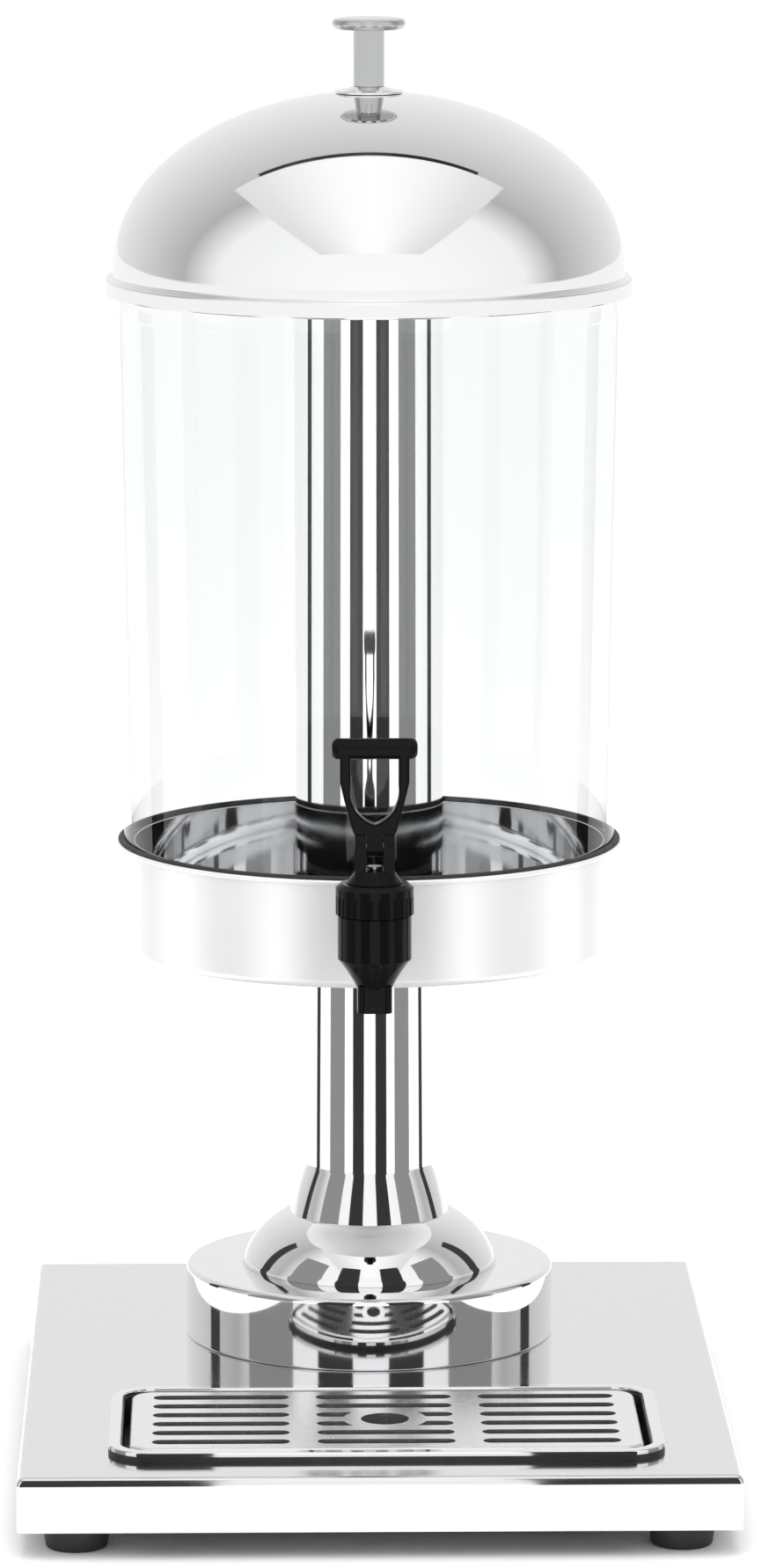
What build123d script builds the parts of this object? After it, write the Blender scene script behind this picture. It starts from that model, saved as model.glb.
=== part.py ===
from build123d import *
from math import sqrt
import os

# Countertop cold drink dispenser: a clear drum on a polished column, with an ice tube inside it,
# a push tap in front, a lift-off dome lid and a drip tray let into the base.
# Millimetres, +Z up, front faces -Y. The origin is on the table, under the middle of the base.

# ---- driving dimensions ----

# base
base_width = 260.0
base_depth = 350.0
base_height = 20.0
base_skin = 1.0
base_bend = 3.0  # outside radius of the folded edges
base_corner = 1.5  # ground radius of the welded corners
foot_height = 10.0
foot_inset = 21.0
foot_top_radius = 12.6
foot_bottom_radius = 11.0
foot_screw_radius = 2.5
bracket_side = 38.0
bracket_thickness = 1.5
foot_nut_across = 8.0
foot_nut_height = 4.0
channel_width = 24.0
channel_height = 10.0
channel_skin = 1.2
doubler_width = 130.0
doubler_thickness = 3.0

# column
axis_back = 56.5  # column axis behind the middle of the base
drum_radius = 70.3
drum_height = 27.4
drum_edge = 2.0
bell_radius = 48.8
bell_height = 20.0
bell_lip = 1.0  # flat left around the stem's foot
stem_height = 104.0
stem_top_radius = 23.6
stem_waist_radius = 24.2
stem_foot_radius = 30.5
stem_flare_height = 19.0
column_skin = 1.2
plug_height = 8.0
rod_radius = 5.0
rod_nut_across = 17.0
rod_nut_height = 8.0
rod_washer_radius = 12.0
rod_washer_thickness = 1.6

# tank cup and tank
cup_radius = 95.6
cup_height = 41.0
cup_skin = 0.8
cup_corner = 3.5
cup_bead = 0.9  # radius of the rolled top edge
spreader_radius = 70.0
spreader_thickness = 2.5
pan_ledge_width = 4.9
tank_seat = 7.5  # how deep the tank stands in the cup
pan_skin = 0.6
pan_corner = 5.0
ledge_corner = 1.6
gasket_lip = 0.8
gasket_web = 1.2
gasket_crown = 2.0  # how far the lip stands above the cup's edge
tank_wall = 3.0
tank_height = 220.0
tank_taper = 3.7  # how much wider the wall is under the band than at its foot, on the radius
tank_band_height = 12.0
tank_band_step = 0.7
tank_band_wall = 4.2

# hub and ice tube
hub_radius = 24.0
hub_height = 4.0
spigot_radius = 12.0
spigot_height = 12.0
seal_thickness = 1.5
tube_radius = 28.1
tube_skin = 0.8
tube_rise = 25.0  # tube's mouth above the tank's mouth
tube_bead = 0.8

# lid
lid_rise = 66.5
lid_skirt = 3.0
lid_skin = 0.9
lid_rim_width = 2.8
lid_slack = 0.9  # rim outside the tank's band, on the radius
lid_rim_height = 6.4
lid_overlap = 5.0  # how far the rim hangs below the tank's top edge
knob_radius = 13.9
knob_thickness = 4.2
knob_stem_radius = 5.8
knob_stem_length = 21.6
knob_flange_radius = 12.9
knob_flange_height = 2.0
knob_screw_radius = 2.5

# tap
tap_reach = 21.0  # cup wall to the tap's upright axis
tap_radius = 13.6
tap_shank_radius = 5.5
tap_bore_radius = 3.4
tap_flange_radius = 11.5
tap_flange_thickness = 2.5
tap_washer_radius = 10.5
tap_washer_thickness = 1.6
shank_nut_across = 18.0
shank_nut_thickness = 5.0
shank_end = 3.0
spout_width = 12.8
spout_corner = 3.0
spout_bore_radius = 4.2
spout_length = 9.0
taper_height = 10.8
body_height = 16.5
body_rise = 10.0  # body's shoulder above the shank's axis
seat_drop = 0.6  # valve seat below the shank's bore
chamber_radius = 9.0
body_thread_radius = 11.9
body_thread_height = 8.0
nut_radius = 14.4
nut_height = 11.4
nut_ribs = 30
nut_rib_radius = 0.55
bonnet_width = 14.6
bonnet_depth = 11.0
bonnet_cone_radius = 10.2
bonnet_flange_thickness = 2.0
bonnet_plug_depth = 5.0
bonnet_cavity_radius = 5.2
pin_rise = 14.0  # lever pin above the bonnet nut's top face
pin_radius = 1.25
tongue_width = 6.0
lever_width = 25.6  # across the loop's legs
lever_bar_length = 31.6
lever_bar_radius = 3.9
lever_leg = 4.0
lever_depth = 7.0
lever_loop_height = 24.0
valve_stem_radius = 1.8
valve_lift = 3.0
stem_head_thickness = 0.8
seat_hole_radius = 3.4
spring_wire = 0.8
spring_turns = 5

# drip tray
tray_width = 201.5
tray_depth = 103.0
tray_corner = 16.0
tray_side = 3.0  # tray middle, to the right of the base's middle
tray_margin = 23.5  # tray's rim to the base's front edge
tray_rim_width = 5.0
tray_rim_height = 3.4
trim_height = 1.6
trim_width = 4.6
tray_sink = 10.0
tray_skin = 0.8
tray_gap = 2.5
grille_skin = 1.2
grille_bend = 2.0  # outside radius of the folded edge
grille_drop = 0.3  # grille's face below the tray's rim
slot_length = 50.0
slot_width = 6.6
slot_pitch = 13.5
slot_rows = 6
group_pitch = 60.0
group_count = 3
drain_radius = 8.8
drain_land = 6.6

# ---- clearances ----

slip = 0.2  # loose parts of one body
thread_slip = 0.05
running_slip = 0.05
fit_gap = 0.1
cutout_gap = 1.0

# ---- places worked out from them ----

deck = foot_height + base_height
drum_top = deck + drum_height
bell_top = drum_top + bell_height
bell_shoulder = stem_foot_radius + bell_lip
cup_floor = bell_top + stem_height
cup_rim = cup_floor + cup_height
pan_floor = cup_floor + cup_skin + spreader_thickness
pan_ledge = cup_rim - tank_seat
pan_rim = cup_rim - cup_bead
pan_upper_radius = cup_radius - cup_skin - fit_gap
pan_radius = pan_upper_radius - pan_ledge_width
seal_radius = pan_upper_radius - pan_skin
tank_foot_radius = seal_radius - gasket_lip
tank_foot = pan_ledge + gasket_web
tank_top = tank_foot + tank_height
tank_top_radius = tank_foot_radius + tank_taper
tank_band_radius = tank_top_radius + tank_band_step
hub_floor = pan_floor + pan_skin + seal_thickness
rod_foot = deck - base_skin - doubler_thickness - rod_washer_thickness - rod_nut_height
rod_end = rod_foot - 2.0
rod_top = hub_floor + hub_height + spigot_height - 4.0
tube_foot = hub_floor + hub_height + slip
tube_top = tank_top + tube_rise
lid_rim_radius = tank_band_radius + lid_slack + lid_skin
lid_radius = lid_rim_radius - lid_rim_width
rim_foot = tank_top - lid_overlap
rim_top = rim_foot + lid_rim_height
dome_spring = rim_top + lid_skirt
dome_top = dome_spring + lid_rise
flange_top = dome_top + knob_flange_height
knob_foot = flange_top + knob_stem_length
tap_axis_y = axis_back - cup_radius - tap_reach
tap_z = pan_ledge - pan_skin - shank_nut_across / sqrt(3) - fit_gap
seat_top = tap_z - tap_bore_radius - seat_drop
body_shoulder = tap_z + body_rise
thread_top = body_shoulder + body_thread_height
taper_top = body_shoulder - body_height
spout_top = taper_top - taper_height
spout_foot = spout_top - spout_length
nut_foot = body_shoulder + slip
nut_top = nut_foot + nut_height
bonnet_flange_top = thread_top + bonnet_flange_thickness
pin_z = nut_top + pin_rise
bonnet_top_radius = bonnet_depth / 2
lever_hub_radius = bonnet_top_radius - 1.2
tray_floor = deck - tray_sink
grille_top = deck + tray_rim_height - grille_drop
grille_foot = tray_floor + tray_skin

column = Plane(origin=(0, axis_back, 0), x_dir=(1, 0, 0), z_dir=(0, -1, 0))
column_axis = Axis((0, axis_back, 0), (0, 0, 1))
tap = Plane(origin=(0, tap_axis_y, 0), x_dir=(1, 0, 0), z_dir=(0, -1, 0))
tap_upright = Axis((0, tap_axis_y, 0), (0, 0, 1))


def level(height, x=0.0, y=0.0):
    """A level plane at a height, centred on x, y."""
    return Plane(origin=(x, y, height))


def on_column(height):
    return level(height, 0, axis_back)


def on_tap(height):
    return level(height, 0, tap_axis_y)


def facing_front(y, height):
    """An upright plane at y that faces the front, centred on the tap shank's height."""
    return Plane(origin=(0, y, height), x_dir=(1, 0, 0), z_dir=(0, -1, 0))


def save(part, name):
    part.label = name
    export_step(part, f"parts/{name}.step")


os.makedirs("parts", exist_ok=True)

foot_places = [
    (x * (base_width / 2 - foot_inset), y * (base_depth / 2 - foot_inset))
    for x in (-1, 1)
    for y in (-1, 1)
]
tray_place = (tray_side, tray_margin + tray_depth / 2 - base_depth / 2)
tray_body_width = tray_width - 2 * tray_rim_width + 2 * tray_skin
tray_body_depth = tray_depth - 2 * tray_rim_width + 2 * tray_skin
tray_body_corner = tray_corner - tray_rim_width + tray_skin

# ---- base ----

# Folded steel box, open underneath, with the drip tray's cut-out and the tie rod's hole.
with BuildPart() as base_plate:
    with BuildSketch(level(foot_height)):
        Rectangle(base_width, base_depth)
    extrude(amount=base_height)
    fillet(base_plate.edges().filter_by(Axis.Z), base_corner)
    fillet(base_plate.faces().sort_by(Axis.Z)[-1].edges(), base_bend)
    offset(amount=-base_skin, openings=base_plate.faces().sort_by(Axis.Z)[0])
    with BuildSketch(level(deck, *tray_place)):
        RectangleRounded(
            tray_body_width + 2 * cutout_gap,
            tray_body_depth + 2 * cutout_gap,
            tray_body_corner + cutout_gap,
        )
    extrude(amount=-2 * base_skin, mode=Mode.SUBTRACT)
    with BuildSketch(on_column(deck)):
        Circle(rod_radius + slip)
    extrude(amount=-2 * base_skin, mode=Mode.SUBTRACT)
save(base_plate.part, "base_plate")

# Two channels welded under the deck, one ahead of the column and one behind it.
channel_spread = doubler_width / 2 - channel_width
channel_top = deck - base_skin
channel_length = base_width - 2 * base_bend - 2 * slip
with BuildPart() as stiffener_channels:
    for y in (axis_back - channel_spread, axis_back + channel_spread):
        with BuildSketch(level(channel_top, 0, y)):
            Rectangle(channel_length, channel_width)
        extrude(amount=-channel_height)
        with BuildSketch(level(channel_top, 0, y)):
            Rectangle(channel_length, channel_width - 2 * channel_skin)
        extrude(amount=-(channel_height - channel_skin), mode=Mode.SUBTRACT)
save(stiffener_channels.part, "stiffener_channels")

# Doubler plate between the channels, which spreads the tie rod's pull.
with BuildPart() as deck_doubler:
    with BuildSketch(on_column(channel_top)):
        Rectangle(doubler_width, 2 * channel_spread - channel_width - 2 * slip)
        Circle(rod_radius + slip, mode=Mode.SUBTRACT)
    extrude(amount=-doubler_thickness)
save(deck_doubler.part, "deck_doubler")

# Corner brackets that hold the feet, level with the skirt's lower edge.
bracket_reach = base_skin + slip + bracket_side / 2
bracket_places = [
    (x * (base_width / 2 - bracket_reach), y * (base_depth / 2 - bracket_reach))
    for x in (-1, 1)
    for y in (-1, 1)
]
with BuildPart() as corner_brackets:
    with BuildSketch(level(foot_height)):
        with Locations(*bracket_places):
            RectangleRounded(bracket_side, bracket_side, base_corner)
        with Locations(*foot_places):
            Circle(foot_screw_radius + thread_slip, mode=Mode.SUBTRACT)
    extrude(amount=bracket_thickness)
save(corner_brackets.part, "corner_brackets")

# Moulded rubber feet, each with a pocket for its screw's head.
screw_head_radius = 4.4
screw_head_height = 3.0
screw_head_rise = 1.5
foot_web = screw_head_rise + screw_head_height
with BuildPart() as rubber_feet:
    with Locations(*foot_places):
        Cone(
            foot_bottom_radius,
            foot_top_radius,
            foot_height,
            align=(Align.CENTER, Align.CENTER, Align.MIN),
        )
    fillet(rubber_feet.faces().group_by(Axis.Z)[0].edges(), 1.2)
    with BuildSketch(level(0)):
        with Locations(*foot_places):
            Circle(foot_screw_radius + thread_slip)
    extrude(amount=foot_height, mode=Mode.SUBTRACT)
    with BuildSketch(level(0)):
        with Locations(*foot_places):
            Circle(screw_head_radius + slip)
    extrude(amount=foot_web, mode=Mode.SUBTRACT)
save(rubber_feet.part, "rubber_feet")

# Pan-head screws up through the feet.
screw_end = foot_height + bracket_thickness + foot_nut_height + 1.5
with BuildPart() as foot_screws:
    with BuildSketch(level(screw_head_rise)):
        with Locations(*foot_places):
            Circle(screw_head_radius)
    extrude(amount=screw_head_height)
    fillet(foot_screws.faces().group_by(Axis.Z)[0].edges(), 1.2)
    with BuildSketch(level(screw_head_rise)):
        with Locations(*foot_places):
            SlotOverall(5.0, 1.2)
            SlotOverall(5.0, 1.2, rotation=90)
    extrude(amount=1.4, mode=Mode.SUBTRACT)
    with BuildSketch(level(foot_web)):
        with Locations(*foot_places):
            Circle(foot_screw_radius)
    extrude(amount=screw_end - foot_web)
save(foot_screws.part, "foot_screws")

# Nuts on the brackets.
with BuildPart() as foot_nuts:
    with BuildSketch(level(foot_height + bracket_thickness)):
        with Locations(*foot_places):
            RegularPolygon(foot_nut_across / 2, 6, major_radius=False)
            Circle(foot_screw_radius + thread_slip, mode=Mode.SUBTRACT)
    extrude(amount=foot_nut_height)
save(foot_nuts.part, "foot_nuts")

# ---- column ----

# Pressed steel drum, open underneath, that stands on the deck.
with BuildPart() as base_drum:
    with BuildSketch(on_column(deck)):
        Circle(drum_radius)
    extrude(amount=drum_height)
    fillet(base_drum.faces().sort_by(Axis.Z)[-1].edges(), drum_edge)
    offset(amount=-column_skin, openings=base_drum.faces().sort_by(Axis.Z)[0])
    with BuildSketch(on_column(drum_top)):
        Circle(rod_radius + slip)
    extrude(amount=-2 * column_skin, mode=Mode.SUBTRACT)
save(base_drum.part, "base_drum")

# Spun bell between the drum and the stem.
bell_waist = (bell_radius + bell_shoulder) / 2 + 2.2
with BuildPart() as bell_flange:
    with BuildSketch(column):
        with BuildLine():
            Polyline((0, drum_top), (bell_radius, drum_top), (bell_radius, drum_top + 1.5))
            ThreePointArc(
                (bell_radius, drum_top + 1.5),
                (bell_waist, drum_top + 0.6 * bell_height),
                (bell_shoulder, bell_top),
            )
            Polyline((bell_shoulder, bell_top), (0, bell_top), (0, drum_top))
        make_face()
    revolve(axis=column_axis)
    offset(amount=-column_skin, openings=bell_flange.faces().sort_by(Axis.Z)[0])
    with BuildSketch(on_column(bell_top)):
        Circle(rod_radius + slip)
    extrude(amount=-2 * column_skin, mode=Mode.SUBTRACT)
save(bell_flange.part, "bell_flange")

# Column tube, belled out at its foot.
flare_top = bell_top + stem_flare_height
flare_middle = ((stem_waist_radius + stem_foot_radius) / 2 + 0.5, bell_top + 0.48 * stem_flare_height)
with BuildPart() as stem:
    with BuildSketch(column):
        with BuildLine():
            ThreePointArc((stem_foot_radius, bell_top), flare_middle, (stem_waist_radius, flare_top))
            Polyline(
                (stem_waist_radius, flare_top),
                (stem_top_radius, cup_floor),
                (0, cup_floor),
                (0, bell_top),
                (stem_foot_radius, bell_top),
            )
        make_face()
    revolve(axis=column_axis)
    stem_ends = stem.faces().sort_by(Axis.Z)
    offset(amount=-column_skin, openings=[stem_ends[0], stem_ends[-1]])
save(stem.part, "stem")

# Plug pressed into the stem's top, which centres the tie rod.
with BuildPart() as stem_plug:
    with BuildSketch(on_column(cup_floor)):
        Circle(stem_top_radius - column_skin - fit_gap)
        Circle(rod_radius + slip, mode=Mode.SUBTRACT)
    extrude(amount=-plug_height)
save(stem_plug.part, "stem_plug")

# Tie rod that clamps the column from the base to the hub in the pan.
with BuildPart() as tie_rod:
    with BuildSketch(on_column(rod_end)):
        Circle(rod_radius)
    extrude(amount=rod_top - rod_end)
    chamfer(tie_rod.faces().sort_by(Axis.Z)[0].edges(), 0.8)
save(tie_rod.part, "tie_rod")

with BuildPart() as tie_rod_nut:
    with BuildSketch(on_column(rod_foot)):
        RegularPolygon(rod_nut_across / 2, 6, major_radius=False)
        Circle(rod_radius + thread_slip, mode=Mode.SUBTRACT)
    extrude(amount=rod_nut_height)
save(tie_rod_nut.part, "tie_rod_nut")

with BuildPart() as tie_rod_washer:
    with BuildSketch(on_column(rod_foot + rod_nut_height)):
        Circle(rod_washer_radius)
        Circle(rod_radius + slip, mode=Mode.SUBTRACT)
    extrude(amount=rod_washer_thickness)
save(tie_rod_washer.part, "tie_rod_washer")

# ---- cup, pan and tank ----

# Drawn cup whose satin wall is the ring around the tank's foot, with a rolled edge.
with BuildPart() as tank_cup:
    with BuildSketch(on_column(cup_floor)):
        Circle(cup_radius)
    extrude(amount=cup_height - cup_bead)
    fillet(tank_cup.faces().sort_by(Axis.Z)[0].edges(), cup_corner)
    offset(amount=-cup_skin, openings=tank_cup.faces().sort_by(Axis.Z)[-1])
    with BuildSketch(column):
        with Locations((cup_radius - cup_skin + cup_bead, cup_rim - cup_bead)):
            Circle(cup_bead)
    revolve(axis=column_axis)
    with BuildSketch(on_column(cup_floor)):
        Circle(rod_radius + slip)
    extrude(amount=2 * cup_skin, mode=Mode.SUBTRACT)
    with BuildSketch(facing_front(axis_back, tap_z)):
        Circle(tap_shank_radius + slip)
    extrude(amount=2 * cup_radius, mode=Mode.SUBTRACT)
save(tank_cup.part, "tank_cup")

# Spreader disc under the pan.
with BuildPart() as pan_spreader:
    with BuildSketch(on_column(cup_floor + cup_skin)):
        Circle(spreader_radius)
        Circle(rod_radius + slip, mode=Mode.SUBTRACT)
    extrude(amount=spreader_thickness)
save(pan_spreader.part, "pan_spreader")

# Polished pan: the tank's floor, with a wall that rises inside the tank.
with BuildPart() as tank_pan:
    with BuildSketch(column):
        with BuildLine():
            FilletPolyline(
                (rod_radius + slip, pan_floor),
                (pan_radius, pan_floor),
                (pan_radius, cup_rim),
                radius=pan_corner,
            )
            offset(amount=pan_skin, side=Side.LEFT)
        make_face()
    revolve(axis=column_axis)
    with BuildSketch(facing_front(axis_back, tap_z)):
        Circle(tap_shank_radius + slip)
    extrude(amount=2 * pan_radius, mode=Mode.SUBTRACT)
save(tank_pan.part, "tank_pan")

# Ring of angle section between the pan's wall and the cup, which carries the gasket and the tank.
ledge_foot = pan_ledge - pan_skin
ring_inner = pan_radius + thread_slip
with BuildPart() as seat_ring:
    with BuildSketch(column):
        with BuildLine():
            FilletPolyline(
                (ring_inner, ledge_foot),
                (pan_upper_radius, ledge_foot),
                (pan_upper_radius, pan_rim),
                radius=ledge_corner,
            )
            offset(amount=pan_skin, side=Side.LEFT)
        make_face()
    revolve(axis=column_axis)
save(seat_ring.part, "seat_ring")

# Black silicone gasket around the tank's foot, with a lip over the cup's edge.
crown = cup_rim + gasket_crown
tank_slope = (tank_top_radius - tank_foot_radius) / (tank_height - tank_band_height)


def tank_outside(height):
    """Outside radius of the tank's tapered wall at a height."""
    return tank_foot_radius + tank_slope * (height - tank_foot)


with BuildPart() as tank_gasket:
    with BuildSketch(column):
        with BuildLine():
            inner_lip = tank_foot_radius - tank_wall - fit_gap
            Polyline(
                (ring_inner, pan_ledge),
                (seal_radius - ledge_corner, pan_ledge),
                (seal_radius, pan_ledge + ledge_corner),
                (seal_radius, cup_rim + 0.05),
                (cup_radius, cup_rim + 0.05),
                (cup_radius, cup_rim + 0.6),
                (tank_outside(crown) + 0.9, crown),
                (tank_outside(crown) + fit_gap, crown),
                (tank_outside(tank_foot) + fit_gap / 2, tank_foot),
                (inner_lip, tank_foot),
                (inner_lip, cup_rim),
                (ring_inner, cup_rim),
                close=True,
            )
        make_face()
    revolve(axis=column_axis)
save(tank_gasket.part, "tank_gasket")

# Clear moulded tank: a slightly tapered tube with a thicker band at its mouth.
band_foot = tank_top - tank_band_height
with BuildPart() as tank:
    with BuildSketch(column):
        with BuildLine():
            band_inner = tank_band_radius - tank_band_wall
            Polyline(
                (tank_foot_radius - tank_wall, tank_foot),
                (tank_foot_radius, tank_foot),
                (tank_top_radius, band_foot),
                (tank_band_radius, band_foot + 5),
                (tank_band_radius, tank_top - 1),
                (tank_band_radius - 1, tank_top),
                (band_inner + 1, tank_top),
                (band_inner, tank_top - 1),
                (band_inner, band_foot + 1),
                (tank_top_radius - tank_wall, band_foot),
                close=True,
            )
        make_face()
    revolve(axis=column_axis)
save(tank.part, "tank")

# ---- hub and ice tube ----

with BuildPart() as hub_seal:
    with BuildSketch(on_column(pan_floor + pan_skin)):
        Circle(hub_radius)
        Circle(rod_radius + slip, mode=Mode.SUBTRACT)
    extrude(amount=seal_thickness)
save(hub_seal.part, "hub_seal")

# Steel hub screwed on the tie rod. Its spigot centres the ice tube.
with BuildPart() as hub:
    with BuildSketch(on_column(hub_floor)):
        Circle(hub_radius)
    extrude(amount=hub_height)
    with BuildSketch(on_column(hub_floor + hub_height)):
        Circle(spigot_radius)
    extrude(amount=spigot_height)
    chamfer(hub.faces().sort_by(Axis.Z)[-1].edges(), 1.0)
    with BuildSketch(on_column(hub_floor)):
        Circle(rod_radius + thread_slip)
    extrude(amount=rod_top + slip - hub_floor, mode=Mode.SUBTRACT)
save(hub.part, "hub")

# Ice tube with a rolled mouth.
with BuildPart() as ice_tube:
    with BuildSketch(on_column(tube_foot)):
        Circle(tube_radius)
        Circle(tube_radius - tube_skin, mode=Mode.SUBTRACT)
    extrude(amount=tube_top - tube_bead - tube_foot)
    with BuildSketch(column):
        with Locations((tube_radius - tube_skin / 2 + tube_bead / 2, tube_top - tube_bead)):
            Circle(tube_bead)
    revolve(axis=column_axis)
save(ice_tube.part, "ice_tube")

# Pressed-in end cap of the ice tube, with a socket over the hub's spigot.
socket_top = tube_foot + spigot_height + 2.0
with BuildPart() as ice_tube_cap:
    with BuildSketch(on_column(tube_foot)):
        Circle(tube_radius - tube_skin - running_slip)
    extrude(amount=3.0)
    with BuildSketch(on_column(tube_foot)):
        Circle(spigot_radius + running_slip + 1.5)
    extrude(amount=socket_top - tube_foot)
    fillet(ice_tube_cap.faces().sort_by(Axis.Z)[-1].edges(), 1.0)
    with BuildSketch(on_column(tube_foot)):
        Circle(spigot_radius + running_slip)
    extrude(amount=socket_top - tube_foot - 1.5, mode=Mode.SUBTRACT)
save(ice_tube_cap.part, "ice_tube_cap")

# ---- lid ----


def dome_outline(radius, rise, spring):
    """Quarter of an ellipse from the crown down to the spring line."""
    EllipticalCenterArc((0, spring), radius, rise, start_angle=0, arc_size=90)


# Spun dome with a turned-out flange and a rim that hangs over the tank's edge.
with BuildPart() as lid_dome:
    with BuildSketch(column):
        with BuildLine():
            rim_in = lid_rim_radius - lid_skin
            dome_outline(lid_radius, lid_rise, dome_spring)
            Polyline(
                (lid_radius, dome_spring),
                (lid_radius, rim_top + 1.0),
                (lid_radius + 1.0, rim_top),
                (lid_rim_radius - 0.8, rim_top),
                (lid_rim_radius, rim_top - 0.8),
                (lid_rim_radius, rim_foot + 0.4),
                (lid_rim_radius - 0.4, rim_foot),
                (rim_in, rim_foot),
                (rim_in, tank_top),
                (lid_radius - lid_skin, tank_top),
                (lid_radius - lid_skin, dome_spring),
            )
            dome_outline(lid_radius - lid_skin, lid_rise - lid_skin, dome_spring)
            Line((0, dome_top - lid_skin), (0, dome_top))
        make_face()
    revolve(axis=column_axis)
    with BuildSketch(on_column(dome_top)):
        Circle(knob_screw_radius + slip)
    extrude(amount=-lid_rise / 4, mode=Mode.SUBTRACT)
save(lid_dome.part, "lid_dome")


def dome_height(radius):
    """Height of the dome's outer face at a radius."""
    return dome_spring + lid_rise * sqrt(1 - (radius / lid_radius) ** 2)


# Dished washer under the knob's stem, cut to the dome's curve underneath.
with BuildPart() as knob_flange:
    with BuildSketch(column):
        with BuildLine():
            edge_foot = dome_height(knob_flange_radius) + fit_gap
            under = knob_flange_radius / 2
            ThreePointArc(
                (0, dome_top + fit_gap),
                (under, dome_height(under) + fit_gap),
                (knob_flange_radius - 0.4, edge_foot),
            )
            ThreePointArc(
                (knob_flange_radius - 0.4, edge_foot),
                (knob_flange_radius, edge_foot + 0.5),
                (knob_flange_radius - 0.5, edge_foot + 1.0),
            )
            Polyline(
                (knob_flange_radius - 0.5, edge_foot + 1.0),
                (9.6, flange_top - 1.9),
                (9.0, flange_top - 1.3),
                (knob_stem_radius + 0.6, flange_top),
                (0, flange_top),
                (0, dome_top + fit_gap),
            )
        make_face()
    revolve(axis=column_axis)
    with BuildSketch(on_column(flange_top)):
        Circle(knob_screw_radius + slip)
    extrude(amount=-2 * knob_flange_height, mode=Mode.SUBTRACT)
save(knob_flange.part, "knob_flange")

# Stem of the knob, tapped at both ends.
tapped_depth = 8.0
with BuildPart() as knob_stem:
    with BuildSketch(on_column(flange_top)):
        Circle(knob_stem_radius)
    extrude(amount=knob_stem_length)
    with BuildSketch(on_column(flange_top)):
        Circle(knob_screw_radius + thread_slip)
    extrude(amount=tapped_depth, mode=Mode.SUBTRACT)
save(knob_stem.part, "knob_stem")

# Crowned disc on top of the stem.
with BuildPart() as knob_disc:
    with BuildSketch(column):
        with BuildLine():
            side = knob_foot + 0.48 * knob_thickness
            Polyline((0, knob_foot + knob_thickness), (0, knob_foot), (knob_radius - 1.4, knob_foot))
            ThreePointArc(
                (knob_radius - 1.4, knob_foot),
                (knob_radius, side),
                (knob_radius - 1.6, knob_foot + knob_thickness - 0.6),
            )
            TangentArc(
                (0, knob_foot + knob_thickness),
                (knob_radius - 1.6, knob_foot + knob_thickness - 0.6),
                tangent=(1, 0),
            )
        make_face()
    revolve(axis=column_axis)
save(knob_disc.part, "knob_disc")

# Screw and washer that clamp the knob from inside the dome.
screw_seat = dome_top - lid_skin - 1.2
with BuildPart() as knob_washer:
    with BuildSketch(on_column(screw_seat)):
        Circle(6.0)
        Circle(knob_screw_radius + thread_slip, mode=Mode.SUBTRACT)
    extrude(amount=1.0)
save(knob_washer.part, "knob_washer")

with BuildPart() as knob_screw:
    with BuildSketch(on_column(screw_seat)):
        Circle(4.2)
    extrude(amount=-3.0)
    fillet(knob_screw.faces().sort_by(Axis.Z)[0].edges(), 1.0)
    with BuildSketch(on_column(screw_seat)):
        Circle(knob_screw_radius)
    extrude(amount=flange_top + tapped_depth - 1.5 - screw_seat)
save(knob_screw.part, "knob_screw")

# ---- tap ----

cup_front = axis_back - cup_radius
pan_front = axis_back - pan_radius
flange_back = cup_front - tap_washer_thickness
shank_nut_front = pan_front + pan_skin + tap_washer_thickness
shank_back = shank_nut_front + shank_nut_thickness + shank_end

# Tap body: upright barrel, square spout below and a threaded shank that runs back through the cup.
with BuildPart() as tap_body:
    with BuildSketch(tap):
        with BuildLine():
            waist = spout_width / 2 + 0.2
            Line((0, taper_top), (tap_radius, taper_top))
            ThreePointArc(
                (tap_radius, taper_top),
                (tap_radius - 3.4, taper_top - 0.42 * taper_height),
                (waist, spout_top),
            )
            Polyline((waist, spout_top), (0, spout_top), (0, taper_top))
        make_face()
    revolve(axis=tap_upright)
    with BuildSketch(on_tap(taper_top)):
        Circle(tap_radius)
    extrude(amount=body_height)
    fillet(tap_body.faces().sort_by(Axis.Z)[-1].edges(), 0.6)
    with BuildSketch(on_tap(spout_foot)):
        RectangleRounded(spout_width, spout_width, spout_corner)
    extrude(amount=spout_length + 1.0)
    with BuildSketch(on_tap(body_shoulder)):
        Circle(body_thread_radius)
    extrude(amount=body_thread_height)
    with BuildSketch(facing_front(flange_back, tap_z)):
        Circle(tap_flange_radius)
    extrude(amount=tap_flange_thickness)
    with BuildSketch(facing_front(shank_back, tap_z)):
        Circle(tap_shank_radius)
    extrude(amount=shank_back - tap_axis_y)
    with BuildSketch(facing_front(flange_back, tap_z)):
        Circle(tap_shank_radius + 3.0)
    extrude(amount=flange_back - tap_axis_y)
    with BuildSketch(on_tap(seat_top)):
        Circle(chamber_radius)
    extrude(amount=thread_top - seat_top, mode=Mode.SUBTRACT)
    with BuildSketch(on_tap(seat_top)):
        Circle(seat_hole_radius)
    extrude(amount=-4.0, mode=Mode.SUBTRACT)
    with BuildSketch(on_tap(spout_foot)):
        Circle(spout_bore_radius)
    extrude(amount=seat_top - 2.0 - spout_foot, mode=Mode.SUBTRACT)
    with BuildSketch(facing_front(shank_back, tap_z)):
        Circle(tap_bore_radius)
    extrude(amount=shank_back - tap_axis_y, mode=Mode.SUBTRACT)
save(tap_body.part, "tap_body")

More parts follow.
